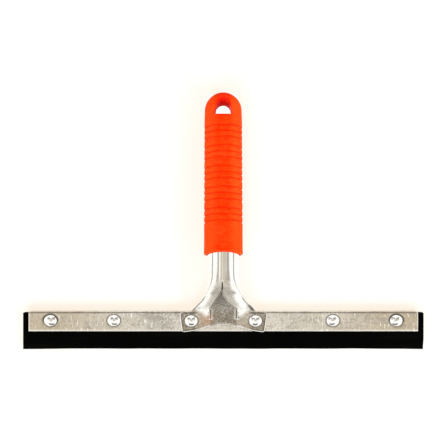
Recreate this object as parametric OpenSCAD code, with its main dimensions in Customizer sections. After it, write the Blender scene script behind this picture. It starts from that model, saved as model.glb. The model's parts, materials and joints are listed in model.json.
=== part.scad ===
// Window cleaning squeegee. A folded steel channel clamps two rubber strips. A rolled steel
// stem with a flat yoke is riveted to the channel's front, and a ribbed plastic grip sleeve
// is pushed over the stem.
// Frame: X runs along the blade, Y from the front to the back and Z up towards the grip, in
// millimetres. The origin is the middle of the hang hole, where the squeegee hangs.
// Modules work in the blade's own frame, where z = 0 is the wiping edge and y = 0 is the
// channel's front face, and in_frame() moves them to the origin above.

/* [Rubber] */
// Length of the rubber strips, the squeegee's nominal size
rubber_l = 300; // [200:1:450]
// Thickness of one rubber strip
rubber_t = 3; // [2:0.1:4]
// Height of rubber left bare below the channel
lip_h = 13.4; // [6:0.1:20]

/* [Channel] */
// Rubber left standing out past each end of the channel
end_overhang = 4.4; // [0.5:0.1:10]
// Height of the folded channel
channel_h = 14.8; // [13:0.1:20]
// Sheet thickness of the channel
channel_sheet = 1; // [0.6:0.1:1.4]
// Outer radius of the two bends along the channel's top
bend_r = 1.6; // [1.4:0.1:2.5]

/* [Rivets] */
// Depth of the rivets below the channel's top
rivet_drop = 6.7; // [5.5:0.1:8]
// Distance of the end rivets from the channel's ends
end_rivet_inset = 16.3; // [8:0.1:25]
// Distance from an end rivet to the next one
rivet_pitch = 47.4; // [35:0.1:50]
// Distance between the two rivets that hold the yoke
yoke_rivet_span = 48; // [44:0.5:52]
// Diameter of a rivet's shank
shank_d = 4; // [3:0.1:5]
// Diameter of a rivet's domed head
head_d = 9.6; // [7:0.1:10]
// Height of a rivet's domed head
head_h = 2; // [1.2:0.1:3]
// Diameter of the clinched tail behind the channel
tail_d = 6.4; // [6:0.1:8]
// Height of the clinched tail
tail_h = 1.1; // [0.6:0.1:2]
// Radial clearance of the shank in its holes
shank_clearance = 0.1; // [0.05:0.01:0.3]

/* [Yoke] */
// Sheet thickness of the stem and its yoke
stem_sheet = 1.5; // [1:0.1:2]
// Width of the yoke's plate at its top edge
yoke_top_w = 66.4; // [64:0.1:80]
// Width of the yoke's plate at its bottom edge
yoke_bottom_w = 62.2; // [60:0.1:76]
// Height of the yoke's plate
yoke_h = 14.8; // [12:0.1:16]
// Distance of the plate's top edge below the channel's top
yoke_drop = 0.6; // [0.2:0.1:1]
// Corner radius of the plate
yoke_corner_r = 2; // [0.5:0.1:3]
// Width of the arched notch in the plate's bottom edge
arch_w = 30; // [16:0.5:32]
// Height of the arched notch
arch_h = 6.2; // [2:0.1:7]

/* [Stem] */
// Outer diameter of the rolled tube
tube_d = 23.6; // [19:0.1:27]
// Length of tube inside the grip
tube_insert = 96; // [60:1:98]
// Backward lean of the tube from the blade's plane
lean = 11; // [5:0.5:15]
// Height above the channel's top at which the tube starts to lean
lean_rise = 1.4; // [0.8:0.1:4]
// Height above the channel's top at which the flare becomes a tube
neck_rise = 25.2; // [22:0.1:32]
// Width of the flare at the yoke's top edge
foot_w = 49.6; // [44:0.1:52]
// Depth of the flare at the yoke's top edge
foot_depth = 5; // [4:0.1:8]
// Width of the seam along the tube's front
seam_w = 0.4; // [0.2:0.1:0.8]
// Height above the channel's top at which the seam opens into the mouth
mouth_rise = 19.2; // [14:0.1:21]
// Width of the open mouth between the flare's two lips
mouth_w = 20; // [14:0.5:24]

/* [Grip] */
// Overall length of the grip
grip_l = 126.1; // [120:0.1:160]
// Wall of the grip over the tube
grip_wall = 2.65; // [1.5:0.05:4]
// Radial clearance between the grip and the tube
grip_clearance = 0.1; // [0.05:0.01:0.2]
// Height of bare stem from the channel's top to the grip's mouth, on the tube's axis
bare_stem = 42.8; // [38:0.1:52]
// Plastic left above the hang hole, on the grip's axis
hole_cover = 5.8; // [4:0.1:8]
// Height of the hang hole
hole_h = 15; // [13:0.1:17]
// Width of the hang hole at its flat bottom
hole_w = 14; // [12:0.1:16]
// Radius of the hang hole's arched top
hole_arch_r = 4.5; // [3:0.1:5.5]
// Corner radius of the hang hole's bottom
hole_corner_r = 1.2; // [0.5:0.1:2]

/* [Grip rings] */
// Number of groups of rings
ring_groups = 5; // [1:1:5]
// Number of grooves in a group
rings_per_group = 3; // [1:1:3]
// Distance from the grip's mouth to the first groove
first_ring = 24.1; // [16:0.1:26]
// Distance between the grooves of a group
ring_pitch = 4.6; // [3:0.1:5]
// Distance between the first grooves of two groups
group_pitch = 15.9; // [15:0.1:16]
// Radius of a groove's round section
ring_r = 1.1; // [0.6:0.1:1.4]
// Depth of a groove
ring_depth = 0.5; // [0.2:0.05:0.8]

/* [Hidden] */

$fn = 64;
eps = 0.01;
past = 1;            // how far a cutter runs past what it cuts

// Blade
channel_l = rubber_l - 2 * end_overhang;
channel_t = 2 * (rubber_t + channel_sheet);
channel_top = lip_h + channel_h;
rubber_h = channel_top - channel_sheet;
rivet_z = channel_top - rivet_drop;
end_rivet_x = channel_l / 2 - end_rivet_inset;
mid_rivet_x = end_rivet_x - rivet_pitch;
yoke_rivet_x = yoke_rivet_span / 2;
hole_r = shank_d / 2 + shank_clearance;

// Yoke and stem
tube_r = tube_d / 2;
bore_r = tube_r - stem_sheet;
tube_half_depth = tube_r / cos(lean);    // half depth of a level section of the tube
lean_z = channel_top + lean_rise;
neck_top = channel_top + neck_rise;
mouth_top = channel_top + mouth_rise;
yoke_top = channel_top - yoke_drop;
arch_r = (pow(arch_w / 2, 2) + pow(arch_h, 2)) / (2 * arch_h);
flare_power = 1.6;       // how quickly the flare widens towards the yoke
depth_gain = 1.5;        // the flare reaches its full depth at 1 / depth_gain of its height
flare_step = 0.3;        // the flare's top tucks this far inside the tube's outer skin
flare_rings = 11;
flare_points = 48;
head_gap = 0.3;
flare_base = rivet_z + head_d / 2 + head_gap;      // the flare starts clear of the heads
flare_end = neck_top + 3;                // and ends inside the tube's wall
mouth_shoulder = yoke_top + 4;           // where the mouth's lips turn straight down
mouth_foot = yoke_top - 4.2;

// Grip
grip_mouth_z = channel_top + bare_stem;
grip_bore_r = tube_r + grip_clearance;
grip_r = grip_bore_r + grip_wall;
grip_bore_l = tube_insert + 1;
hole_mid = grip_l - hole_cover - hole_h / 2;       // along the axis, from the mouth
ring_path_r = grip_r - ring_depth + ring_r;

// The axis of the tube and grip passes through axis_base, and leans back from there
axis_base = [0, -tube_half_depth, lean_z];
mouth_s = (grip_mouth_z - lean_z) / cos(lean);     // along the axis, from axis_base
origin = axis_base + (mouth_s + hole_mid) * [0, sin(lean), cos(lean)];

// How far along the flare a level z is, from 0 at the yoke's top edge to 1 at the tube
function flare_share(z) = min(1, max(0, (z - yoke_top) / (neck_top - yoke_top)));

// A level section of the flare: its half width, depth and back face, all for the outer skin
function flare_half_w(z) = tube_r + (foot_w / 2 - tube_r) * pow(1 - flare_share(z), flare_power);
function ease(t) = t * t * (3 - 2 * t);
function depth_share(z) = ease(min(1, depth_gain * flare_share(z)));
function flare_depth(z) = foot_depth + (2 * tube_half_depth - foot_depth) * depth_share(z);
function flare_back(z) = max(0, (z - lean_z) * tan(lean));

// One ring of the flare's skin at level z, drawn in by a wall
function flare_ring(z, wall) = [
    for (i = [0 : flare_points - 1])
        let (
            angle = 360 * i / flare_points,
            half_d = flare_depth(z) / 2
        )
        [
            (flare_half_w(z) - wall) * cos(angle),
            flare_back(z) - half_d + (half_d - wall) * sin(angle),
            z
        ]
];

// Moves a piece from the blade's frame to the part's origin
module in_frame() {
    translate(-origin) children();
}

// Moves a piece drawn along +Z from the grip's mouth onto the leaning axis
module on_axis() {
    translate(axis_base) rotate([-lean, 0, 0]) translate([0, 0, mouth_s]) children();
}

// A closed skin through a list of rings, each a list of points at one level
module skin(rings) {
    n = len(rings[0]);
    last = len(rings) - 1;
    sides = [
        for (k = [0 : last - 1], i = [0 : n - 1])
            let (j = (i + 1) % n)
            each [
                [k * n + i, (k + 1) * n + i, (k + 1) * n + j],
                [k * n + i, (k + 1) * n + j, k * n + j]
            ]
    ];
    bottom = [for (i = [0 : n - 1]) i];
    top = [for (i = [n - 1 : -1 : 0]) last * n + i];
    polyhedron(points = [for (r = rings) each r], faces = concat(sides, [bottom, top]));
}

// Holes for the rivets at the given places along the blade, right through front to back
module rivet_holes(places) {
    for (x = places)
        translate([x, -stem_sheet - past, rivet_z]) rotate([-90, 0, 0])
            cylinder(r = hole_r, h = stem_sheet + channel_t + 2 * past);
}

all_rivets = [
    for (side = [-1, 1], x = [yoke_rivet_x, mid_rivet_x, end_rivet_x]) side * x
];

// Folded steel channel, open downwards, which grips both rubber strips
module blade_channel() {
    color("lightgray") in_frame() difference() {
        translate([-channel_l / 2, 0, 0]) rotate([90, 0, 90])
            linear_extrude(channel_l) difference() {
                hull() {
                    translate([0, lip_h]) square([channel_t, eps]);
                    for (y = [bend_r, channel_t - bend_r])
                        translate([y, channel_top - bend_r]) circle(bend_r);
                }
                translate([channel_sheet, lip_h - past])
                    square([2 * rubber_t, channel_h - channel_sheet + past]);
            }
        rivet_holes(all_rivets);
    }
}

// One rubber strip, number 0 at the front and 1 at the back
module rubber_strip(number) {
    color([0.05, 0.05, 0.05]) in_frame() difference() {
        translate([-rubber_l / 2, channel_sheet + number * rubber_t, 0])
            cube([rubber_l, rubber_t, rubber_h]);
        rivet_holes(all_rivets);
    }
}

module front_rubber() rubber_strip(0);
module back_rubber() rubber_strip(1);

// A rivet at x through a stack that starts at front_y: domed head, shank and clinched tail
module rivet(x, front_y) {
    cap_r = (pow(head_d / 2, 2) + pow(head_h, 2)) / (2 * head_h);
    color("silver") in_frame() translate([x, front_y, rivet_z]) {
        rotate([90, 0, 0]) intersection() {
            translate([0, 0, head_h - cap_r]) sphere(cap_r);
            cylinder(d = head_d + past, h = head_h + past);
        }
        rotate([-90, 0, 0]) {
            translate([0, 0, -eps]) cylinder(d = shank_d, h = channel_t - front_y + eps);
            translate([0, 0, channel_t - front_y]) cylinder(d = tail_d, h = tail_h);
        }
    }
}

module rivet_end_left() rivet(-end_rivet_x, 0);
module rivet_mid_left() rivet(-mid_rivet_x, 0);
module rivet_yoke_left() rivet(-yoke_rivet_x, -stem_sheet);
module rivet_yoke_right() rivet(yoke_rivet_x, -stem_sheet);
module rivet_mid_right() rivet(mid_rivet_x, 0);
module rivet_end_right() rivet(end_rivet_x, 0);

// Outline of the yoke's flat plate, with its arched notch
module yoke_outline() {
    difference() {
        hull() for (side = [-1, 1]) {
            translate([side * (yoke_top_w / 2 - yoke_corner_r), yoke_top - yoke_corner_r])
                circle(yoke_corner_r);
            translate([
                side * (yoke_bottom_w / 2 - yoke_corner_r),
                yoke_top - yoke_h + yoke_corner_r
            ])
                circle(yoke_corner_r);
        }
        translate([0, yoke_top - yoke_h + arch_h - arch_r]) circle(arch_r, $fn = 128);
    }
}

// The hollow flare between the yoke and the tube
module flare() {
    levels = [
        for (k = [0 : flare_rings]) flare_base + (flare_end - flare_base) * k / flare_rings
    ];
    difference() {
        skin([for (z = concat([flare_base], [lean_z], [
            for (z = levels) if (z > lean_z + 1) z
        ])) flare_ring(z, flare_step)]);
        skin([for (z = concat([for (z = levels) if (z > lean_z + 1) z], [
            flare_end + past
        ])) flare_ring(z, stem_sheet + flare_step)]);
    }
}

// The pointed mouth that the seam opens into, cut through the flare's front only
module mouth() {
    translate([0, -stem_sheet, 0]) rotate([90, 0, 0]) linear_extrude(2 * tube_d) polygon([
        [-mouth_w / 2, mouth_foot], [mouth_w / 2, mouth_foot],
        [mouth_w / 2, mouth_shoulder], [seam_w / 2, mouth_top],
        [-seam_w / 2, mouth_top], [-mouth_w / 2, mouth_shoulder]
    ]);
}

// Rolled stem: tube, flare and flat yoke, formed from one steel sheet
module stem_yoke() {
    tube_start = -(grip_mouth_z - neck_top) / cos(lean);
    color("gainsboro") in_frame() difference() {
        union() {
            rotate([90, 0, 0]) linear_extrude(stem_sheet) yoke_outline();
            flare();
            on_axis() difference() {
                translate([0, 0, tube_start]) cylinder(r = tube_r, h = tube_insert - tube_start);
                translate([0, 0, tube_start - past])
                    cylinder(r = bore_r, h = tube_insert - tube_start + 2 * past);
            }
        }
        mouth();
        on_axis() translate([-seam_w / 2, -tube_r - past, tube_start - tube_d / 2])
            cube([seam_w, tube_r, tube_insert + tube_d - tube_start]);
        rivet_holes([-yoke_rivet_x, yoke_rivet_x]);
    }
}

// Outline of the hang hole, arched at the top, with the middle of its height at the origin
module hole_outline() {
    hull() {
        translate([0, hole_h / 2 - hole_arch_r]) circle(hole_arch_r);
        for (side = [-1, 1])
            translate([side * (hole_w / 2 - hole_corner_r), hole_corner_r - hole_h / 2])
                circle(hole_corner_r);
    }
}

// Ribbed plastic grip, closed and domed at its top and open at its mouth
module grip_sleeve() {
    color("orangered") in_frame() on_axis() difference() {
        union() {
            cylinder(r = grip_r, h = grip_l - grip_r);
            translate([0, 0, grip_l - grip_r]) sphere(grip_r);
        }
        translate([0, 0, -past]) cylinder(r = grip_bore_r, h = grip_bore_l + past);
        translate([0, grip_r + past, hole_mid]) rotate([90, 0, 0])
            linear_extrude(2 * (grip_r + past)) hole_outline();
        for (group = [0 : ring_groups - 1], ring = [0 : rings_per_group - 1])
            translate([0, 0, first_ring + group * group_pitch + ring * ring_pitch])
                rotate_extrude() translate([ring_path_r, 0]) circle(ring_r);
    }
}

grip_sleeve();
stem_yoke();
blade_channel();
front_rubber();
back_rubber();
rivet_end_left();
rivet_mid_left();
rivet_yoke_left();
rivet_yoke_right();
rivet_mid_right();
rivet_end_right();
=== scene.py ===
"""Looks of a window cleaning squeegee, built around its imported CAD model.

Metres. X runs along the blade, the front faces -Y and +Z points up to the grip. The origin is the
middle of the hang hole. New pieces are drawn in the blade's own millimetres, with y from the
channel's front face and z from the wiping edge, and place_piece() puts them where the model is.
"""
import json
import math

import bmesh
import bpy
from mathutils import Matrix, Vector, noise


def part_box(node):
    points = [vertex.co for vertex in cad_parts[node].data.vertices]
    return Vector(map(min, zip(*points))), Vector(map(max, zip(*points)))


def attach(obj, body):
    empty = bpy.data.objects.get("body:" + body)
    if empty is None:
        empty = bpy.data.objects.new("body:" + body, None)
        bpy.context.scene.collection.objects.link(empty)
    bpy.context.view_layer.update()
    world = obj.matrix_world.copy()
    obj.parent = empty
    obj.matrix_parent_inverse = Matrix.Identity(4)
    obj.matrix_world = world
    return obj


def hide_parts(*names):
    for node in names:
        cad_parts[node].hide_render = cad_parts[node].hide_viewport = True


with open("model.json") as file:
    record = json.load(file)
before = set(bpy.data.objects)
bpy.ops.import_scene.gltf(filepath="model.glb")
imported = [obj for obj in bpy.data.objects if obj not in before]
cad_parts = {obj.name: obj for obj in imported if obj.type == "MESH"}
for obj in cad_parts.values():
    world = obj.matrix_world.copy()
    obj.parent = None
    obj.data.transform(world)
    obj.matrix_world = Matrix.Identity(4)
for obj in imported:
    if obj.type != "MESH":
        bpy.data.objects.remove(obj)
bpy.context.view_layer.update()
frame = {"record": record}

MM = 0.001

# Places on the object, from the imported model
channel_low, channel_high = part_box("blade_channel")
rubber_low, rubber_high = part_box("front_rubber")
stem_low, stem_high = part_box("stem_yoke")
rivet_low, rivet_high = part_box("rivet_end_right")
FRONT = channel_low.y                    # the channel's front face
EDGE = rubber_low.z                      # the wiping edge
hang_mount = next(m for m in frame["record"]["mounts"] if m["name"] == "hang_hole")
LEAN = math.asin(hang_mount["axis"][2])  # the stem and grip lean back by this angle

# Sizes in millimetres, in the blade's own frame
RUBBER_HALF = rubber_high.x / MM
RUBBER_T = (rubber_high.y - rubber_low.y) / MM
RUBBER_TOP = (rubber_high.z - EDGE) / MM
CHANNEL_HALF = channel_high.x / MM
CHANNEL_T = (channel_high.y - channel_low.y) / MM
CHANNEL_BOTTOM = (channel_low.z - EDGE) / MM
CHANNEL_TOP = (channel_high.z - EDGE) / MM
CHANNEL_SHEET = 1.0
BEND_R = 1.6
PLATE_HALF = stem_high.x / MM
PLATE_TAPER = 2.1                        # the plate is this much narrower a side at its bottom
PLATE_BOTTOM = (stem_low.z - EDGE) / MM
PLATE_TOP = CHANNEL_TOP - 0.6
PLATE_SHEET = 1.5
CORNER_R = 2.0
STEM_R = 11.8
STEM_DEEP = STEM_R / math.cos(LEAN)      # half depth of a level cut through the tube
LEAN_Z = CHANNEL_TOP + 1.4               # the stem leans back from this height
FOOT_HALF = 24.8                         # half width of the flare where it meets the plate
FLARE_TOP = CHANNEL_TOP + 25.2           # the flare is a round tube from here
MOUTH_Z = CHANNEL_TOP + 42.8             # the grip's mouth, on its axis
MOUTH = Vector((0, (MOUTH_Z - LEAN_Z) * math.tan(LEAN) - STEM_DEEP, MOUTH_Z))
GRIP_R = 14.55
GRIP_L = 126.1
BORE_R = 11.9
BORE_L = 97.0
HOLE_MID = 112.8                         # the hang hole's middle, along the grip from its mouth
HOLE_H = 15.0
HOLE_W = 14.0
RIVET_Z = ((rivet_low.z + rivet_high.z) / 2 - EDGE) / MM
RIVET_X = {"end": 129.3, "mid": 81.9, "yoke": 24.0}
HEAD_W = 4.85                            # a head is a little wider than it is high
HEAD_H = 4.25


def at(x, y, z):
    """A point in metres, from the blade's own frame in metres."""
    return Vector((x, FRONT + y, EDGE + z))


# ---------------------------------------------------------------- shader tools
class Wire:
    """A shader socket that takes Python arithmetic. Each operation adds its own Math node."""

    def __init__(self, tree, socket):
        self.tree = tree
        self.socket = socket

    def math(self, operation, *others):
        sockets = dict(enumerate((self, *others)))
        return add(self.tree, "ShaderNodeMath", {"operation": operation}, sockets)[0]

    def __add__(self, other):
        return self.math("ADD", other)

    def __sub__(self, other):
        return self.math("SUBTRACT", other)

    def __rsub__(self, other):
        return self.math("MULTIPLY", -1) + other

    def __mul__(self, other):
        return self.math("MULTIPLY", other)

    def __abs__(self):
        return self.math("ABSOLUTE")

    def soft(self, low, high):
        """0 below low and 1 above high, with a smooth step between. Low may be the higher."""
        return add(self.tree, "ShaderNodeMapRange", {"interpolation_type": "SMOOTHSTEP"}, {
            "Value": self, "From Min": low, "From Max": high,
        })["Result"]

    def near(self, middle, width):
        """1 at the middle, falling smoothly to 0 at the width on either side."""
        return abs(self - middle).soft(width, 0)

    __radd__ = __add__
    __rmul__ = __mul__


class Outputs:
    """The outputs of a node, each as a Wire, by name or number."""

    def __init__(self, tree, node):
        self.tree = tree
        self.node = node

    def __getitem__(self, key):
        return Wire(self.tree, self.node.outputs[key])


def add(tree, kind, settings=None, sockets=None):
    """Adds a node: its settings first, then a value or a Wire for each named or numbered socket."""
    node = tree.nodes.new(kind)
    for name, value in (settings or {}).items():
        setattr(node, name, value)
    for name, value in (sockets or {}).items():
        if isinstance(value, Wire):
            tree.links.new(value.socket, node.inputs[name])
        else:
            node.inputs[name].default_value = value
    return Outputs(tree, node)


def fresh_tree(owner):
    owner.use_nodes = True
    owner.node_tree.nodes.clear()
    return owner.node_tree


def blend(tree, share, first, second):
    """Mixes two colours, each a Wire or a tuple. The Mix node has them in sockets 6 and 7."""
    first, second = (c if isinstance(c, Wire) else (*c, 1) for c in (first, second))
    sockets = {"Factor": share, 6: first, 7: second}
    return add(tree, "ShaderNodeMix", {"data_type": "RGBA"}, sockets)[2]


class Finish:
    """A material under construction, with its colour and the piece's own coordinates at hand."""

    def __init__(self, name, colour):
        self.material = bpy.data.materials.new(name)
        self.colour = colour
        self.tree = fresh_tree(self.material)
        self.place = add(self.tree, "ShaderNodeTexCoord")["Object"]
        split = add(self.tree, "ShaderNodeSeparateXYZ", {}, {0: self.place})
        self.x, self.y, self.z = (split[axis] for axis in "XYZ")

    def paint(self, share, tint):
        """Lays a tint over the colour so far, by a share from 0 to 1."""
        self.colour = blend(self.tree, share, self.colour, tint)

    def stretched(self, scale, turn=(0, 0, 0)):
        """The piece's coordinates, scaled and turned, for a pattern drawn out one way."""
        return add(self.tree, "ShaderNodeMapping", {}, {
            "Vector": self.place, "Scale": scale, "Rotation": turn,
        })["Vector"]

    def grain(self, size, detail, rough, where=None, warp=0):
        """Noise whose lumps are about size metres across, from 0 to 1."""
        return add(self.tree, "ShaderNodeTexNoise", {}, {
            "Vector": where or self.place, "Scale": 1 / size, "Detail": detail,
            "Roughness": rough, "Distortion": warp,
        })["Fac"]

    def attribute(self, name):
        return add(self.tree, "ShaderNodeAttribute", {"attribute_name": name})["Fac"]

    def rivet_ring(self, places, outer):
        """1 up to the rim of each rivet's head, falling to 0 at outer times the head's size."""
        up = (self.z - (EDGE + RIVET_Z * MM)) * (1 / (HEAD_H * MM))
        rings = []
        for place in places:
            along = (abs(self.x) - place * MM) * (1 / (HEAD_W * MM))
            rings.append((along * along + up * up).soft(outer ** 2, 1.0))
        return sum(rings)

    def bump(self, height, depth, strength, under=None):
        sockets = {"Height": height, "Distance": depth, "Strength": strength}
        if under:
            sockets["Normal"] = under
        return add(self.tree, "ShaderNodeBump", {}, sockets)["Normal"]

    def close(self, **sockets):
        """Ends the material: its shader takes the colour, and each socket by its name."""
        named = {name.replace("_", " "): value for name, value in sockets.items()}
        named["Base Color"] = self.colour
        surface = add(self.tree, "ShaderNodeBsdfPrincipled", {}, named)[0]
        add(self.tree, "ShaderNodeOutputMaterial", {}, {"Surface": surface})
        return self.material


# ---------------------------------------------------------------- mesh tools
def clamp(t):
    return min(1.0, max(0.0, t))


def ease(t):
    t = clamp(t)
    return t * t * (3 - 2 * t)


def lerp(a, b, t):
    return a + (b - a) * t


def between(t, low, high):
    """How far t is from low to high, eased, from 0 to 1."""
    return ease((t - low) / (high - low))


def span(t, start, full, fading, end):
    """1 from full to fading, eased down to 0 at start and end."""
    return between(t, start, full) * between(t, end, fading)


def wave(x, y, size, seed):
    """Smooth noise from -1 to 1 with lumps about size millimetres across."""
    return noise.noise(Vector((x / size, y / size, seed)))


def place_piece(name, bm, node, finish, sharp):
    """Moves a mesh from the blade's own millimetres to its place, as the piece for its CAD node."""
    bm.transform(Matrix.Translation((0, FRONT, EDGE)) @ Matrix.Scale(MM, 4))
    bmesh.ops.recalc_face_normals(bm, faces=bm.faces)
    if bm.calc_volume(signed=True) < 0:
        bmesh.ops.reverse_faces(bm, faces=bm.faces)
    for face in bm.faces:
        face.smooth = True
    mesh = bpy.data.meshes.new(name)
    bm.to_mesh(mesh)
    bm.free()
    mesh.set_sharp_from_angle(angle=math.radians(sharp))
    mesh.materials.append(finish)
    piece = bpy.data.objects.new(name, mesh)
    bpy.context.scene.collection.objects.link(piece)
    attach(piece, "root")
    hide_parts(node)


def chain(bm, points):
    """Vertices through the points, joined by edges into an open line."""
    verts = [bm.verts.new(p) for p in points]
    return [bm.edges.new(pair) for pair in zip(verts, verts[1:])]


def carried(bm, ring):
    """Extrudes a face by itself, takes away the face it leaves, and returns the new one."""
    pushed = bmesh.ops.extrude_face_region(bm, geom=[ring])
    bmesh.ops.delete(bm, geom=[ring], context="FACES_ONLY")
    return next(g for g in pushed["geom"] if isinstance(g, bmesh.types.BMFace))


def on_axis(bm):
    """Turns a mesh drawn along +Z from the grip's mouth onto the leaning axis."""
    bm.transform(Matrix.Translation(MOUTH) @ Matrix.Rotation(-LEAN, 4, "X"))


def arc(cx, cy, r, start, end, steps):
    """Points on an arc, by angles in degrees."""
    return [
        (cx + r * math.cos(math.radians(a)), cy + r * math.sin(math.radians(a)))
        for a in (lerp(start, end, k / steps) for k in range(steps + 1))
    ]


# ---------------------------------------------------------------- grip
# The hang hole from its front rim to its back rim: how far behind the grip's axis, how far its
# outline is let out, how far it is drawn in at its foot, and the radius of its arch. The front is
# narrow as far as the parting line, and the arch widens behind it.
FRONT_ARCH = 4.5
BACK_ARCH = 6.1
HOLE_LEVELS = [
    (-GRIP_R - 1.5, 2.4, 0, FRONT_ARCH), (-GRIP_R + 0.2, 1.1, 0, FRONT_ARCH),
    (-GRIP_R + 0.8, 0.5, 0, FRONT_ARCH), (-GRIP_R + 1.5, 0.15, 0, FRONT_ARCH),
    (-GRIP_R + 2.4, 0, 0, FRONT_ARCH), (2.0, 0, 0, FRONT_ARCH),
    (2.3, -0.05, 0.1, 4.9), (2.5, -0.15, 0.3, 5.4), (2.9, -0.2, 0.4, 5.6),
    (GRIP_R - 2.4, -0.15, 0.4, BACK_ARCH), (GRIP_R - 1.2, 0, 0.3, BACK_ARCH),
    (GRIP_R - 0.4, 0.4, 0.2, BACK_ARCH), (GRIP_R + 1.5, 1.6, 0, BACK_ARCH),
]
# One ring's groove: how deep it is, and how far above the ring's own height
RING_GROOVE = [
    (0.05, -1.5), (0.1, -1.15), (0.26, -0.85), (0.47, -0.5), (0.55, -0.1), (0.5, 0.3),
    (0.3, 0.7), (0.1, 1.0), (0.02, 1.4),
]
MOUTH_IN = 0.75                          # how its mouth is rounded, inside and outside
MOUTH_OUT = 0.9
FIRST_RING = 24.1                        # height above the grip's mouth
GROUP_STEP = 15.9
RING_STEP = 4.6
RINGED = (22, 98)                        # the rings lie between these heights
SWELL_R = GRIP_R - 0.02                  # the grip's radius between its grooves


def hole_outline(grow, foot_in, arch):
    """The hang hole's outline, let out by grow and drawn in at its foot, as (x, height)."""
    corner = max(0.5, 1.2 + grow)
    rounds = [(0, HOLE_H / 2 - arch, arch + grow)] + [
        (side * (HOLE_W / 2 + grow - foot_in - corner), corner - HOLE_H / 2 - grow, corner)
        for side in (-1, 1)
    ]
    points = []
    for k in range(72):
        turn = math.radians(5 * k + 2.5)
        reach = max(rounds, key=lambda c: c[0] * math.cos(turn) + c[1] * math.sin(turn) + c[2])
        points.append((
            reach[0] + reach[2] * math.cos(turn), reach[1] + reach[2] * math.sin(turn),
        ))
    return points


def hole_cutter():
    """The hang hole as a solid, with its rims rounded outwards."""
    bm = bmesh.new()
    y, *shape = HOLE_LEVELS[0]
    first = [bm.verts.new((x, y, z)) for x, z in hole_outline(*shape)]
    ring = bm.faces.new(first)
    for y, *shape in HOLE_LEVELS[1:]:
        ring = carried(bm, ring)
        for vert, (x, z) in zip(ring.verts, hole_outline(*shape)):
            vert.co = (x, y, z)
    bm.faces.new(first)
    bmesh.ops.translate(bm, verts=bm.verts, vec=(0, 0, HOLE_MID))
    bmesh.ops.recalc_face_normals(bm, faces=bm.faces)
    return bm


def grip_profile():
    """Half outline of the grip as (radius, height from its mouth), from its bore's end outside."""
    outline = [(0, BORE_L), (BORE_R, BORE_L), (BORE_R, 1.2), (BORE_R + 0.25, 0.6)]
    outline += arc(BORE_R + 0.9, MOUTH_IN, MOUTH_IN, 200, 270, 4)
    outline += arc(GRIP_R - MOUTH_OUT, MOUTH_OUT, MOUTH_OUT, 270, 360, 6)
    outline += [(GRIP_R - 0.05, 2.2), (GRIP_R - 0.12, 3.2)]
    outline += [(GRIP_R - 0.12, height) for height in range(6, 23, 4)]
    for group in range(5):
        for k in range(3):
            ring = FIRST_RING + GROUP_STEP * group + RING_STEP * k
            outline += [(SWELL_R - deep, ring + above) for deep, above in RING_GROOVE]
    outline += [
        (SWELL_R - 0.022 * (height - RINGED[1]), height) for height in (101, 104, 107, 109.5)
    ]
    dome = arc(0, 0, 1, 0, 90, 24)
    return outline + [(r * (GRIP_R - 0.33), GRIP_L - GRIP_R + h * (GRIP_R - 0.12)) for r, h in dome]


def cut_out(bm, cutter):
    """Cuts the second mesh out of the first."""
    things = []
    for name, source in (("sleeve", bm), ("cutter", cutter)):
        mesh = bpy.data.meshes.new(name)
        source.to_mesh(mesh)
        things.append(bpy.data.objects.new(name, mesh))
        bpy.context.scene.collection.objects.link(things[-1])
    sleeve = things[0]
    cut = sleeve.modifiers.new("cut", "BOOLEAN")
    cut.operation = "DIFFERENCE"
    cut.solver = "EXACT"
    cut.object = things[1]
    bpy.context.view_layer.update()
    done = sleeve.evaluated_get(bpy.context.evaluated_depsgraph_get()).to_mesh()
    bm.clear()
    bm.from_mesh(done)
    cutter.free()
    for thing in things:
        mesh = thing.data
        bpy.data.objects.remove(thing)
        bpy.data.meshes.remove(mesh)


def make_grip(finish):
    bm = bmesh.new()
    edges = chain(bm, [(r, 0, height) for r, height in grip_profile()])
    bmesh.ops.spin(
        bm, geom=edges[:] + bm.verts[:], cent=(0, 0, 0), axis=(0, 0, 1),
        angle=2 * math.pi, steps=120, use_merge=True,
    )
    bmesh.ops.remove_doubles(bm, verts=bm.verts, dist=0.0005)
    bmesh.ops.recalc_face_normals(bm, faces=bm.faces)
    cut_out(bm, hole_cutter())
    # The inside mark tells the finish where to paint a glow inside the hang hole.
    inside = bm.verts.layers.float.new("inside")
    # The groove mark tells the finish where to paint shade in the ring grooves.
    groove_shade = bm.verts.layers.float.new("groove")
    outside_r = 13                       # past this radius a point is on the grip's outer side
    scallop, scallop_top = 0.7, 8        # how far the mouth rises at the front, and where it ends
    wavy_top = 100                       # the side is a little uneven up to here
    for vert in bm.verts:
        from_axis = math.hypot(vert.co.x, vert.co.y)
        from_skin = GRIP_R - math.hypot(from_axis, max(0.0, vert.co.z - GRIP_L + GRIP_R))
        vert[inside] = 1 if from_skin > 0.4 and vert.co.z > BORE_L + 0.5 else 0
        if from_axis > outside_r and RINGED[0] < vert.co.z < RINGED[1]:
            vert[groove_shade] = between(GRIP_R - from_axis, 0.2, 0.5)
        if vert.co.z < scallop_top:
            rise = scallop * max(0.0, -vert.co.y / GRIP_R) ** 2
            vert.co.z += rise * (1 - max(0.0, vert.co.z) / scallop_top)
        if vert.co.z < wavy_top and from_axis > outside_r:
            swell = 0.04 * wave(20 * math.atan2(vert.co.y, vert.co.x), vert.co.z, 9, 3.1) - 0.04
            vert.co.x *= 1 + swell / GRIP_R
            vert.co.y *= 1 + swell / GRIP_R
    on_axis(bm)
    place_piece("grip", bm, "grip_sleeve", finish, 40)


# ---------------------------------------------------------------- stem
ACROSS = 200                             # faces across the flare's front
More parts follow.
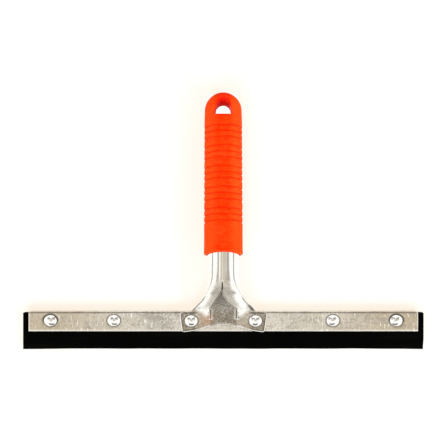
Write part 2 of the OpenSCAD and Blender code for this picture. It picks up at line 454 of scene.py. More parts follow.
# Columns past the flare's foot, as shares of the way to the plate's side
OUTER = [0.15, 0.3, 0.45, 0.6, 0.7, 0.77, 0.82, 0.855, 0.881, 0.891, 0.945, 1.0]
BORDER = [0.0, 0.5, 0.9, 1.0, 1.25]      # rows close to the plate's edges, which chamfer them
PLATE_ROWS = 34
FLARE_ROWS = 66
TUBE_ROWS = [54.6, 56.5, 60, 64, 68, 72, 80, 100, 130, 162]    # to its end inside the grip

# Places on the flare: x from the middle, and heights from the wiping edge
SEAM_X = -0.8
LIP_X = 10.1                             # a folded lip's distance from the seam, at the plate
LIP_TURN = 31.5                          # the lips lean in from here
LIPS_MEET = 46.9
DART_X = 9.7                             # the slit at the foot of each lip
DART_LOW = 22.8
DART_HIGH = 30.6
DART_RIM_X = 9.3                         # the bright rim round each slit, a painted highlight
PLATE_GROUND = 18                        # the ground's finish fades out below this height

# Depths pressed into the stem's and the channel's sheet
STEM_DIP = 0.34                          # round a rivet
CHANNEL_DIP = 0.26
DART_DIP = 0.75
DART_SLIT = 1.5
CREASE_DEEP = 0.7
SEAM_DEEP = 2.2
CLOSED_SEAM = 0.12                       # the seam above its gap

# Height above the wiping edge, and how far the flare's crest stands forward of the channel's face
CREST = [
    (22.2, 1.5), (24.2, 2.45), (27.6, 4.5), (31, 6.9), (35, 10.0), (38, 12.5), (41, 14.9),
    (44, 17.0), (47, 18.6), (50, 19.35),
]
CREST_FOOT_SLOPE = 0.42
MARKS = ("ground", "crest", "border", "tan", "painted_shade")    # what the stem's finish reads: the ground, and where highlight, shade and reflection are painted


def flare_half(z):
    """Half the stem's width at a height, from the flare's foot up to the round tube."""
    share = clamp((z - PLATE_TOP) / (FLARE_TOP - PLATE_TOP))
    power = lerp(1.6, 2.15, between(z, 30, 38))
    return STEM_R + (FOOT_HALF - STEM_R) * (1 - share) ** power


def flare_back(z):
    """How far the flare's back stands behind the channel's face, as it leans."""
    return max(0.0, (z - LEAN_Z) * math.tan(LEAN))


def tube_crest(z):
    """How far the round tube's front stands forward."""
    return 2 * STEM_DEEP - flare_back(z)


def crest(z):
    """How far the flare's crest stands forward, from the lobes' tips up to the round tube."""
    if z <= CREST[0][0]:
        return PLATE_SHEET
    if z >= FLARE_TOP:
        return tube_crest(z)
    points = CREST + [(top, tube_crest(top)) for top in (FLARE_TOP, FLARE_TOP + 4)]
    k = max(i for i, point in enumerate(points) if point[0] <= z)
    (z0, y0), (z1, y1) = points[k:k + 2]

    def slope(i):
        if i == 0:
            return CREST_FOOT_SLOPE
        below, above = points[i - 1], points[min(i + 1, len(points) - 1)]
        return (above[1] - below[1]) / (above[0] - below[0])

    t = (z - z0) / (z1 - z0)
    start = (2 * t ** 3 - 3 * t ** 2 + 1) * y0 + (t ** 3 - 2 * t ** 2 + t) * (z1 - z0) * slope(k)
    end = (3 * t ** 2 - 2 * t ** 3) * y1 + (t ** 3 - t ** 2) * (z1 - z0) * slope(k + 1)
    return start + end


def flare_middle(z):
    """Where the flare's two skins meet at its sides, forward of the channel's face."""
    return lerp(PLATE_SHEET / 2, (crest(z) - flare_back(z)) / 2, between(z, PLATE_TOP, 38))


def side_round(z, theta):
    """How the flare rounds off towards its sides: sharp at the plate, circular on the tube."""
    return math.cos(theta) ** lerp(0.25, 1.0, between(z, 41, 59))


def seam_line(z):
    """The line midway between the lips, which leaves the middle for the seam."""
    return SEAM_X * between(z, 31, 42)


def lip_reach(z):
    """Distance from the seam line to the flare's folded lips."""
    return LIP_X * (1 - clamp((z - LIP_TURN) / (LIPS_MEET - LIP_TURN)) ** 0.9)


def on_ground(x, z):
    """1 on the flat ground between the flare's two lips, 0 outside it."""
    reach = lip_reach(z)
    if reach <= 0:
        return 0.0
    wall = lerp(0.9, 5.0 if x > SEAM_X else 1.5, between(z, LIP_TURN, 36))
    return between(abs(x - seam_line(z)), reach + 0.2, reach - wall) * between(z, LIPS_MEET, 44.5)


def ground(x, z):
    """How far the ground between the lips stands forward: deepest under the left lip."""
    right = lerp(1, 0.4, between(x, -4, 3))
    deep = 2.0 * between(z, 23, 30) * lerp(1, 0.45, between(z, 36, 45)) * right
    return max(PLATE_SHEET, crest(z) - deep)


def lobe(x, z):
    """How far the flare's two pressed lobes stand forward of the plate."""
    rise = crest(z) - PLATE_SHEET
    if rise <= 0:
        return 0.0
    shoulder = lerp(10.7, 12.4, between(z, 28, 35)) - 4.6 * between(z, 35, 42)
    reach = rise / math.tan(math.radians(25)) + 1.2
    outer = 1 - clamp((abs(x) - shoulder) / reach)
    return rise * outer ** 1.25


def notch(x):
    """How high the arch in the plate's lower edge is."""
    return max(0.0, 6.75 * math.exp(-((x / 17.3) ** 2)) - 0.25)


def rivet_dip(x, z, rivet_x, deep):
    """The sheet drawn in round a rivet."""
    away = math.hypot((x - rivet_x) / HEAD_W, (z - RIVET_Z) / HEAD_H)
    return deep * (1 - between(away, 0.9, 1.6))


def groove(distance, width):
    """1 at a line, falling off smoothly on both sides of it."""
    return math.exp(-((distance / width) ** 2))


def stem_front(x, z, theta):
    """The front skin at (x, z): how far it stands forward of the channel's face."""
    if z <= PLATE_TOP:
        forward = PLATE_SHEET + lobe(x, z)
        forward -= max(rivet_dip(x, z, side * RIVET_X["yoke"], STEM_DIP) for side in (1, -1))
        forward += 0.05 * wave(x, z, 5, 1.7)
    else:
        lobes = lerp(PLATE_SHEET + lobe(x, z), crest(z), between(z, PLATE_TOP + 1, 46))
        middle = flare_middle(z)
        forward = middle + (lobes - middle) * side_round(z, theta)
    share = on_ground(x, z)
    if share > 0 and z > 22:
        forward = lerp(forward, ground(x, z), share)
    if z < 33:                           # the dart: a slit in a wider dip
        away = abs(x) - DART_X
        forward -= DART_DIP * groove(away, 1.15) * span(z, 21.5, DART_LOW, DART_HIGH - 0.2, 32)
        forward -= DART_SLIT * groove(away, 0.32) * span(z, DART_LOW, 23.8, 29.6, DART_HIGH)
    forward -= CREASE_DEEP * crease(x, z, 0.42)
    if z > 45:
        forward -= SEAM_DEEP * groove(x - SEAM_X, 0.42) * open_seam(z)
        forward -= CLOSED_SEAM * groove(x - SEAM_X, 0.22) * between(z, 51, 53)
    return forward


def crease(x, z, width):
    """1 on the folded creases that run from the darts up to the seam, weaker on the right."""
    if not 30 < z < 47.5:
        return 0.0
    line = max(
        share * groove(x - (seam_line(z) + side * lip_reach(z)), width)
        for side, share in ((-1, 1.0), (1, 0.15))
    )
    return line * between(z, 30.5, 32.5)


def open_seam(z):
    """1 where the seam gapes above the creases."""
    return span(z, 45.6, 47.5, 51, 53.2)


def tan_reflection(x, z):
    """1 where a tan reflection is painted: on the lips' inner sides and, in two bands, up the tube,
    fading out higher up.
    """
    share = lerp(0.66, 0.5, clamp((z - 36) / 14))
    away = abs(x - SEAM_X) / flare_half(z)
    bands = max(groove(x + 4.3, 1.1), groove(x - 3.7, 2.0))
    up_tube = lerp(1, bands, between(z, 47, 53)) * between(z, 62, 53.5)
    return between(away, share + 0.1, share - 0.16) * between(z, 30, 35) * up_tube


def painted_shade(x, z, theta):
    """1 where dark shade is painted: under the flare's edge, in the darts, the creases and the open
    seam; the line along the flare's sides is a painted dark reflection.
    """
    side_line = lerp(0.95, 0.92, between(z, 34, 41))
    wedge = between(math.cos(theta), 0.6, 0.4) if x > 0 else 0.0
    return max(
        0.95 * crease(x, z, 0.48),
        groove(x - SEAM_X, 0.4) * open_seam(z),
        groove(abs(math.sin(theta)) - side_line, 0.03) * span(z, 28.5, 30, 39, 42),
        wedge * span(z, 28.4, 29.6, 32.5, 36),
        groove(abs(x) - DART_X, 0.6) * span(z, DART_LOW, 23.6, 29.8, DART_HIGH),
    )


def chamfer(to_edge):
    """How far the sheet's sheared edge falls back, by the distance from the edge."""
    return 0.68 * max(0.0, 0.95 - to_edge)


def front_marks(x, z, theta, to_edge):
    """The marks for the stem's finish at a place on its front skin, in the order of MARKS."""
    flat = on_ground(x, z)
    share = flat if z > PLATE_GROUND else on_ground(x, PLATE_GROUND) * between(z, 15, PLATE_GROUND)
    # Painted highlight: the ground's paint is kept off a rim round each dart, so the rim stays
    # bright.
    rim = groove(abs(x) - DART_RIM_X, 1.0) * span(z, 22, 23, 31, 33)
    # Painted highlight: the crest mark covers the pressed lobes, the darts and the sheet's edges.
    pressed = clamp(lobe(x, z) / 1.4) * (1 - flat)
    dart = groove(abs(x) - DART_X, 1.5) * span(z, 21.6, 22.6, 31, 33)
    inset = span(to_edge, 0.8, 1.15, 1.25, 2.2)
    if z <= PLATE_TOP:
        under_top = between(z, PLATE_TOP - 1.1, PLATE_TOP - 0.4)
        inset = max(inset, under_top * between(to_edge, 0.7, 1.1))
    return (
        share * (1 - rim),
        max(pressed, dart, between(to_edge, 1.05, 0.95)),
        inset * between(abs(x), 18.5, 22.5),
        tan_reflection(x, z),
        painted_shade(x, z, theta),
    )


def stem_rows():
    """The plate's rows as shares of its height, and then the other rows as heights."""
    plate = PLATE_TOP - PLATE_BOTTOM
    step = (plate - 2 * BORDER[-1]) / PLATE_ROWS
    shares = [edge / plate for edge in BORDER]
    shares += [(BORDER[-1] + step * k) / plate for k in range(1, PLATE_ROWS)]
    shares += [1 - edge / plate for edge in reversed(BORDER)]
    levels = [lerp(PLATE_TOP, FLARE_TOP, k / FLARE_ROWS) for k in range(1, FLARE_ROWS + 1)]
    return shares, levels + TUBE_ROWS


def stem_place(column, row, shares, levels):
    """(x, z, theta, distance from the plate's edge) of one vertex of the stem's skin."""
    theta = clamp((column - len(OUTER)) / ACROSS) * math.pi - math.pi / 2
    if row >= len(shares):
        z = levels[row - len(shares)]
        return flare_half(z) * math.sin(theta), z, theta, math.inf
    share = shares[row]
    x = FOOT_HALF * math.sin(theta)
    low = PLATE_BOTTOM + notch(x)
    z = lerp(low, PLATE_TOP, share)
    to_edge = z - low
    past_flare = max(len(OUTER) - column, column - len(OUTER) - ACROSS)
    if past_flare > 0:
        half = PLATE_HALF - PLATE_TAPER * (1 - share)
        for gap in (z - low, PLATE_TOP - z):
            if gap < CORNER_R:
                half -= CORNER_R - math.sqrt(max(0.0, CORNER_R ** 2 - (CORNER_R - gap) ** 2))
        x = math.copysign(lerp(FOOT_HALF, half, OUTER[past_flare - 1]), x)
        low = PLATE_BOTTOM + notch(x)
        z = lerp(low, PLATE_TOP, share)
        to_edge = min(z - low, half - abs(x))
    return x, z, theta, to_edge


def make_stem(finish):
    """One closed skin: a grid bent into the front, its copy behind, and the plate's edges."""
    shares, levels = stem_rows()
    columns = ACROSS + 2 * len(OUTER)
    rows = len(shares) + len(levels) - 1
    bm = bmesh.new()
    bmesh.ops.create_grid(bm, x_segments=columns, y_segments=rows, size=1)
    layer = {name: bm.verts.layers.float.new(name) for name in ("across", "up", *MARKS)}
    across, up = layer["across"], layer["up"]
    for vert in bm.verts:
        vert[across] = round((vert.co.x + 1) / 2 * columns)
        vert[up] = round((vert.co.y + 1) / 2 * rows)
    gone = [
        face for face in bm.faces
        if max(v[up] for v in face.verts) >= len(shares)
        and not all(len(OUTER) <= v[across] <= len(OUTER) + ACROSS for v in face.verts)
    ]
    bmesh.ops.delete(bm, geom=gone, context="FACES")

    front = bm.verts[:]
    copied = bmesh.ops.duplicate(bm, geom=bm.faces[:])
    back = [g for g in copied["geom"] if isinstance(g, bmesh.types.BMVert)]
    for vert in front:
        x, z, theta, to_edge = stem_place(int(vert[across]), int(vert[up]), shares, levels)
        for name, value in zip(MARKS, front_marks(x, z, theta, to_edge)):
            vert[layer[name]] = value
        vert.co = (x, chamfer(to_edge) - stem_front(x, z, theta), z)
    for vert in back:
        x, z, theta, _ = stem_place(int(vert[across]), int(vert[up]), shares, levels)
        y = 0.0
        if z > PLATE_TOP:
            y = lerp(-flare_middle(z), flare_back(z), side_round(z, theta))
        vert.co = (x, y, z)
    rim = [
        e for e in bm.edges
        if e.is_boundary and all(v.co.z <= PLATE_TOP + 1e-6 for v in e.verts)
        and not all(v.co.y == 0 for v in e.verts)
    ]
    pushed = bmesh.ops.extrude_edge_only(bm, edges=rim)
    for vert in (g for g in pushed["geom"] if isinstance(g, bmesh.types.BMVert)):
        vert.co.y = 0
    bmesh.ops.remove_doubles(bm, verts=bm.verts, dist=0.002)
    bmesh.ops.holes_fill(bm, edges=[e for e in bm.edges if e.is_boundary], sides=0)
    place_piece("stem", bm, "stem_yoke", finish, 60)


# ---------------------------------------------------------------- blade
END_ROUND = 0.32                         # the channel's ends are rounded by this radius
END_STEPS = [0.0, 0.05, 0.16, END_ROUND]
CHANNEL_STEPS = 300
FOLD_LIP = 0.62                          # radius outside the channel's two lower edges
EDGE_WEAR_H = 9                          # how high up the rubber its worn edge tells
EDGE_WEAR = 0.32
EDGE_WAVE = 0.22


def channel_section():
    """The folded channel's closed section as (y, z), outside from front to back, then inside."""
    t = CHANNEL_SHEET
    low_bend = CHANNEL_BOTTOM + FOLD_LIP
    high_bend = CHANNEL_TOP - BEND_R
    steps = 22
    wall = [lerp(low_bend, high_bend, k / steps) for k in range(1, steps)]
    back_wall = [lerp(high_bend, low_bend, k / steps) for k in range(1, steps)]
    outside = arc(FOLD_LIP, low_bend, FOLD_LIP, 255, 180, 5)
    outside += [(0, z) for z in wall]
    outside += arc(BEND_R, high_bend, BEND_R, 180, 90, 7)
    outside += [(lerp(BEND_R, CHANNEL_T - BEND_R, k / 4), CHANNEL_TOP) for k in range(1, 4)]
    outside += arc(CHANNEL_T - BEND_R, high_bend, BEND_R, 90, 0, 7)
    outside += [(CHANNEL_T, z) for z in back_wall]
    outside += arc(CHANNEL_T - FOLD_LIP, low_bend, FOLD_LIP, 0, -75, 5)
    inside = [(CHANNEL_T - t, CHANNEL_BOTTOM), (CHANNEL_T - t, high_bend)]
    inside += arc(CHANNEL_T - BEND_R, high_bend, BEND_R - t, 0, 90, 4)[1:]
    inside += arc(BEND_R, high_bend, BEND_R - t, 90, 180, 4)
    return outside + inside + [(t, CHANNEL_BOTTOM)]


def make_channel(finish):
    """The folded channel: its section is drawn once and carried along the blade."""
    length = 2 * CHANNEL_HALF
    stations = END_STEPS + [
        lerp(END_ROUND, length - END_ROUND, k / CHANNEL_STEPS) for k in range(1, CHANNEL_STEPS)
    ]
    stations += [length - step for step in reversed(END_STEPS)]

    bm = bmesh.new()
    first = [bm.verts.new((-CHANNEL_HALF, y, z)) for y, z in channel_section()]
    ring = bm.faces.new(first)
    for station in stations[1:]:
        ring = carried(bm, ring)
        for vert in ring.verts:
            vert.co.x = station - CHANNEL_HALF
    bm.faces.new(first)
    places = [side * x for side in (-1, 1) for x in RIVET_X.values()]
    skin = 0.5                           # a point this near an outer side belongs to it
    for vert in bm.verts:
        x, y, z = vert.co
        gap = max(0.0, END_ROUND - (CHANNEL_HALF - abs(x)))
        rounding = END_ROUND - math.sqrt(max(0.0, END_ROUND ** 2 - gap ** 2))
        if y < skin:
            deep = max(rivet_dip(x, z, place, CHANNEL_DIP) for place in places)
            vert.co.y += deep + 0.05 * abs(wave(x, z, 30, 8.2)) + rounding
        elif y > CHANNEL_T - skin:
            vert.co.y -= 0.05 * abs(wave(x, z, 30, 2.2)) + rounding
        elif z > CHANNEL_TOP - skin:
            vert.co.z -= rounding
    place_piece("channel", bm, "blade_channel", finish, 50)


def make_rubber(name, node, front_y, finish):
    """One rubber strip. Its wiping edge has worn a little wavy between its ends."""
    bm = bmesh.new()
    bmesh.ops.create_grid(bm, x_segments=300, y_segments=12, size=1)
    for vert in bm.verts:
        vert.co = (vert.co.x * RUBBER_HALF, front_y, (vert.co.y + 1) / 2 * RUBBER_TOP)
    pushed = bmesh.ops.extrude_face_region(bm, geom=bm.faces[:])
    back = [g for g in pushed["geom"] if isinstance(g, bmesh.types.BMVert)]
    bmesh.ops.translate(bm, vec=(0, RUBBER_T, 0), verts=back)
    bmesh.ops.recalc_face_normals(bm, faces=bm.faces)
    sharp = [e for e in bm.edges if e.calc_face_angle(0) > 1]
    bmesh.ops.bevel(
        bm, geom=sharp, affect="EDGES", offset=0.18, segments=2, profile=0.5, material=-1,
    )
    for vert in bm.verts:
        x, y, z = vert.co
        low = 1 - ease(z / EDGE_WEAR_H)
        middle = 1 - between(abs(x), 120, 149)
        lift = EDGE_WEAR * middle + EDGE_WAVE * middle * wave(x, front_y * 3, 22, 5.5)
        vert.co.z += max(0.0, lift) * low
        vert.co.x -= 0.5 * low * between(x, RUBBER_HALF - 4, RUBBER_HALF)
        vert.co.y += 0.05 * wave(x, z, 14, 6.4) * low * (1 if y > front_y + 1 else 0.6)
    place_piece(name, bm, node, finish, 35)


# ---------------------------------------------------------------- rivets
DRAWN_R = 4.52                           # a head's radius as drawn, before it is made oval
HEAD_PROFILE = [(4.42, 0.22), (4.5, 0.0), (DRAWN_R, -0.25), (4.2, -0.4)]
# The tail from its shank to its dimpled middle: radius, and height past the channel's back
TAIL_PROFILE = [
    (2.0, 0.1), (3.1, 0.1), (3.2, -0.25), (3.15, -0.6), (2.8, -0.95), (2.2, -1.08),
    (1.5, -0.95), (1.0, -0.55), (0.5, -0.42), (0, -0.4),
]


def make_rivet(name, node, x, front_y, finish, seed):
    """A rivet with a low domed head in front and a clinched, dimpled tail behind."""
    stack = CHANNEL_T - front_y
    outline = [(0, 1.97)]
    while outline[-1][0] < 4.2:          # the head steepens steadily outwards from a blunt point
        r, height = outline[-1]
        slope = math.tan(math.radians(8 + 6.2 * (r + 0.15)))
        outline.append((r + 0.3, height - 0.3 * slope))
    outline += HEAD_PROFILE + [(2.0, -0.4)] + [(r, past - stack) for r, past in TAIL_PROFILE]
    bm = bmesh.new()
    edges = chain(bm, [(r, 0, height) for r, height in outline])
    bmesh.ops.spin(
        bm, geom=edges[:] + bm.verts[:], cent=(0, 0, 0), axis=(0, 0, 1),
        angle=2 * math.pi, steps=64, use_merge=True,
    )
    bmesh.ops.remove_doubles(bm, verts=bm.verts, dist=0.0005)
    for vert in bm.verts:
        if vert.co.z > -0.41:            # the head, down to its underside
            vert.co.x *= HEAD_W / DRAWN_R
            vert.co.y *= HEAD_H / DRAWN_R
            vert.co.z += 0.015 * wave(vert.co.x + seed, vert.co.y, 2.2, seed) - 0.01
    bm.transform(
        Matrix.Translation((x, front_y, RIVET_Z)) @ Matrix.Rotation(math.radians(90), 4, "X")
    )
    place_piece(name, bm, node, finish, 45)


# ---------------------------------------------------------------- finishes
def moulded_plastic():
    """Orange-red moulded plastic: cloudy colour, fine grain and rubbed patches, with painted shade
    in the grooves, a painted sheen on the sides and a painted glow inside the hang hole.
    """
    f = Finish("moulded orange plastic", (0.96, 0.026, 0.0008))
    cloud = f.grain(0.02, 3, 0.5)
    blotch = f.grain(0.0045, 3, 0.6, warp=0.4)
    fleck = f.grain(0.0009, 2, 0.6)
    rubbed = f.grain(0.006, 5, 0.65, f.stretched((1, 1, 0.35))).soft(0.56, 0.72)
    scratch = f.grain(0.0007, 3, 0.6, f.stretched((1, 1, 0.045), (0.15, 0.3, 0))).soft(0.64, 0.74)
    f.paint(cloud.soft(0.35, 0.65), (0.97, 0.036, 0.0014))
    f.paint(blotch.soft(0.42, 0.75) * 0.55, (0.95, 0.062, 0.004))
    f.paint(rubbed * 0.3 + scratch * 0.35, (0.97, 0.1, 0.02))
    f.paint(fleck.soft(0.68, 0.82) * 0.3, (0.5, 0.02, 0.003))
    # Painted sheen: the grip's sides are painted lighter and more orange, for the light they catch.
    side_sheen = abs(f.x).soft(0.003, 0.0095) * (0.55 + cloud * 0.4)
    f.paint(side_sheen, (0.98, 0.078, 0.009))
    streak = f.grain(0.0011, 3, 0.6, f.stretched((0.14, 0.14, 1))).soft(0.5, 0.66)
    f.paint(streak * 0.3, (0.98, 0.105, 0.022))
    # Painted shade: the ring grooves are painted a darker red.
    f.paint(f.attribute("groove") * 0.5, (0.72, 0.012, 0.0005))
    # Painted glow: the hang hole's inside is painted a brighter, purer red, for light shining
    # through the plastic.
    f.paint(f.attribute("inside"), (1.0, 0.004, 0.0001))
    rough = 0.3 + cloud * 0.08 + rubbed * 0.1 + scratch * 0.08
    fine = f.bump(fleck + blotch * 0.5, 0.00012, 0.45)
    relief = f.bump(cloud + scratch * -0.12, 0.0004, 0.25, fine)
    return f.close(
        Roughness=rough, Normal=relief, Specular_IOR_Level=0.004,
        Subsurface_Weight=0.3, Subsurface_Radius=(1.0, 0.05, 0.01), Subsurface_Scale=0.006,
    )


def pressed_steel():
    """Bright zinc plate on the pressed stem: mottled, with coarse grey ground between its lips, and
    painted highlights, shade and reflections on its pressings.
    """
    f = Finish("pressed zinc steel", (0.98, 0.97, 0.95))
    cloud = f.grain(0.009, 4, 0.6)
    mottle = f.grain(0.0016, 4, 0.7, warp=0.5)
    grit = f.grain(0.0009, 3, 0.75)
    drawn = f.grain(0.0011, 4, 0.6, f.stretched((1, 1, 0.06)))
    ground_mark = f.attribute("ground")
    # Painted highlight: the crest mark keeps the lobes, darts and edges out of the darker paint low
    # on the stem.
    tip = f.attribute("crest")
    low = f.z.soft(EDGE + 0.037, EDGE + 0.026) * (1 - tip * 0.85)
    dull = low * (cloud.soft(0.3, 0.6) * 0.4 + 0.6) + ground_mark * 0.3
    f.paint(cloud.soft(0.35, 0.65), (0.93, 0.91, 0.86))
    f.paint(dull * (mottle.soft(0.3, 0.65) * 0.6 + 0.4), (0.47, 0.395, 0.305))
    # Darker band low on the plate, between the lobes and the yoke rivets.
    worn = abs(f.x).soft(0.0175, 0.0235) * low * (1 - tip)
    f.paint(worn * (mottle.soft(0.36, 0.6) * 0.55 + 0.05), (0.2, 0.18, 0.145))
    # Painted reflection: the warm room ahead, painted tan with grit on the lips' inner sides and in
    # bands up the tube.
    tan = f.attribute("tan")
    f.paint(tan * 0.75, (0.6, 0.545, 0.46))
    f.paint(tan * grit.soft(0.42, 0.58) * 0.55, (0.3, 0.275, 0.23))
    f.paint(ground_mark * grit.soft(0.4, 0.6) * 0.85, (0.2, 0.18, 0.15))
    # Painted shade: the ground darkens towards the apex, under the lips.
    high = ground_mark * f.z.soft(EDGE + 0.030, EDGE + 0.044)
    f.paint(high * (mottle.soft(0.35, 0.6) * 0.6 + 0.4), (0.12, 0.105, 0.08))
    # Painted shade: a dark line just inside the plate's outer edges and under its top.
    f.paint(f.attribute("border") * (mottle * 0.8 + 0.45), (0.08, 0.068, 0.052))
    # Painted shade: near black in the creases, darts and open seam and under the flare's edge, with
    # a painted dark reflection line along its sides.
    shade_mark = f.attribute("painted_shade")
    f.paint(shade_mark * 0.92, (0.014, 0.011, 0.008))
    # Painted reflection: a warm orange patch low on the left of the flare's foot.
    orange_reflection = f.x.near(-0.0125, 0.009) * f.z.near(EDGE + 0.0225, 0.0075) * cloud.soft(0.25, 0.6)
    f.paint(orange_reflection * 0.45, (0.78, 0.36, 0.16))
    # Painted shade: a dark ring round each yoke rivet's head.
    rivet_shade = f.rivet_ring([RIVET_X["yoke"]], 1.35)
    f.paint(rivet_shade * (mottle * 0.8 + 0.3), (0.16, 0.13, 0.1))
    neck = f.z.near(EDGE + 0.0475, 0.006)
    rough = 0.05 + drawn * 0.1 + dull * 0.22 + ground_mark * 0.2 + mottle * low * 0.1
    rough = rough + shade_mark * 0.4 + tan * 0.2 + neck * 0.25
    fine = f.bump(grit * (ground_mark * 1.4 + 0.06) + mottle * (0.08 + low * 0.3), 0.00018, 0.6)
    relief = f.bump(cloud + drawn * 0.12, 0.0002, 0.35, fine)
    return f.close(Metallic=1 - shade_mark, Roughness=rough, Normal=relief)


def channel_steel():
    """Rolled zinc plate: drawn lines, short rub marks across and smudges, with browner ends, a dark
    line under the top bend and a bright lower edge, all painted reflection and highlight, and
    painted shade round the rivets.
    """
    f = Finish("rolled zinc channel", (0.97, 0.94, 0.89))
    drawn = f.grain(0.0006, 4, 0.65, f.stretched((0.025, 1, 1)))
    bands = f.grain(0.0024, 3, 0.6, f.stretched((0.03, 1, 1)))
    cloud = f.grain(0.014, 4, 0.6)
    mottle = f.grain(0.0016, 5, 0.75, warp=0.4)
    smudge = f.grain(0.005, 5, 0.7, f.stretched((0.6, 1, 1))).soft(0.5, 0.62)
    rub = f.grain(0.0011, 3, 0.6, f.stretched((1, 1, 0.16))).soft(0.57, 0.66)
    speck = f.grain(0.0008, 2, 0.7).soft(0.62, 0.7)
    ends = abs(f.x).soft(0.045, 0.14)
    handled = f.x.near(-0.046, 0.021)
    low = f.z - (EDGE + CHANNEL_BOTTOM * MM)
    high = (EDGE + CHANNEL_TOP * MM) - f.z
    tip = abs(f.x).soft((CHANNEL_HALF - 0.9) * MM, (CHANNEL_HALF - 0.5) * MM)
    f.paint(cloud.soft(0.35, 0.65), (0.86, 0.83, 0.77))
    # Painted reflection: the channel's ends are painted browner.
    f.paint(ends * (0.45 + mottle * 0.5), (0.6, 0.49, 0.32))
    f.paint(smudge * 0.65, (0.5, 0.45, 0.38))
    f.paint(mottle.soft(0.5, 0.62) * 0.6, (0.42, 0.37, 0.3))
    f.paint(handled * mottle.soft(0.38, 0.56) * 0.75, (0.42, 0.4, 0.37))
    f.paint(drawn.soft(0.45, 0.7) * 0.25, (0.95, 0.93, 0.88))
    scuff = rub * cloud.soft(0.35, 0.55)
    f.paint(scuff * 0.8, (1.0, 0.98, 0.94))
    f.paint(speck * 0.55, (0.2, 0.16, 0.12))
    front_side = f.y.soft(FRONT + 0.0012, FRONT + 0.0008)
    # Painted reflection: a dark line on the front just under the top bend.
    fold = high.near(0.0007, 0.0008) * (mottle * 0.7 + 0.5) * front_side
    f.paint(fold, (0.16, 0.13, 0.1))
    # Painted highlight: a bright line along the lower edge and at the channel's tips.
    polished = low.soft(0.0017, 0.0011) + tip
    f.paint(polished * 0.85, (1.0, 0.97, 0.9))
    # Painted shade: a dark ring round each rivet's head.
    rivet_shade = f.rivet_ring(RIVET_X.values(), 1.3)
    f.paint(rivet_shade * (mottle * 0.8 + 0.45), (0.1, 0.08, 0.06))
    # Painted shade: a dark crescent above each end rivet's head.
    rivet_top_shade = f.rivet_ring([RIVET_X["end"]], 1.42) * f.z.soft(EDGE + 0.0195, EDGE + 0.0225)
    f.paint(rivet_top_shade * 0.9, (0.03, 0.025, 0.02))
    rough = 0.24 + bands * 0.14 + smudge * 0.14 + mottle * 0.08
    fine = f.bump(drawn + bands * 0.6, 0.00006, 0.5)
    scored = f.bump(scuff, 0.0004, 0.9, fine)
    relief = f.bump(mottle * 0.8 + cloud, 0.0003, 0.5, scored)
    return f.close(Metallic=1 - scuff * 0.7, Roughness=rough, Normal=relief)


def strip_rubber():
    """Black rubber with faint dust, smears along its length and a dull wiping edge."""
    f = Finish("black strip rubber", (0.0004, 0.0004, 0.0004))
    dust = f.grain(0.0012, 4, 0.7).soft(0.58, 0.75)
    smear = f.grain(0.0035, 5, 0.65, f.stretched((0.06, 1, 1))).soft(0.5, 0.72)
    cloud = f.grain(0.02, 3, 0.5)
    grain = f.grain(0.0005, 3, 0.6)
    edge = f.z.soft(EDGE + 0.003, EDGE)
    f.paint(cloud.soft(0.3, 0.7), (0.0008, 0.0008, 0.0008))
    f.paint(smear * 0.3 + dust * 0.12 + edge * 0.15, (0.004, 0.0038, 0.0035))
    rough = 0.5 + cloud * 0.14 + smear * 0.12 + edge * 0.1
    relief = f.bump(grain * 0.4 + smear * 0.8, 0.00008, 0.4)
    return f.close(Roughness=rough, Normal=relief, Specular_IOR_Level=0.015)


def rivet_steel():
    """Bright polished rivet heads with a few rub marks, and duller tails behind."""
    f = Finish("bright rivet steel", (0.95, 0.94, 0.92))
    rub = f.grain(0.0011, 4, 0.7, warp=0.6)
    speck = f.grain(0.0004, 3, 0.7)
    cloud = f.grain(0.004, 3, 0.5)
    behind = f.y.soft(FRONT - 0.0002, FRONT + 0.0002)
    f.paint(rub.soft(0.5, 0.72) * 0.5, (0.66, 0.62, 0.56))
    f.paint(cloud.soft(0.5, 0.8) * 0.25 + behind * 0.2, (0.55, 0.48, 0.38))
    rough = 0.02 + rub * 0.06 + cloud * 0.03
    relief = f.bump(rub + speck * 0.3, 0.00004, 0.3)
    return f.close(Metallic=1.0, Roughness=rough, Normal=relief)


# ---------------------------------------------------------------- stage
CAMERA_BACK = 0.538                      # from the channel's front face
CAMERA_SIDE = -0.0025
CAMERA_UP = 0.0967                       # above the wiping edge
LENS = 58.9
SENSOR = 36.0
LAMP_SIZE = 0.6
SHEET_HALF = 1.6
BEHIND_RUBBER = 0.0006                   # the sheet's gap behind the rubber
BEHIND_GRIP = 0.0004


def make_camera():
    data = bpy.data.cameras.new("camera")
    data.lens = LENS
    data.sensor_width = SENSOR
    camera = bpy.data.objects.new("camera", data)
    bpy.context.scene.collection.objects.link(camera)
    camera.location = at(CAMERA_SIDE, -CAMERA_BACK, CAMERA_UP)
    camera.rotation_euler = (math.radians(90), 0, 0)
    bpy.context.scene.camera = camera


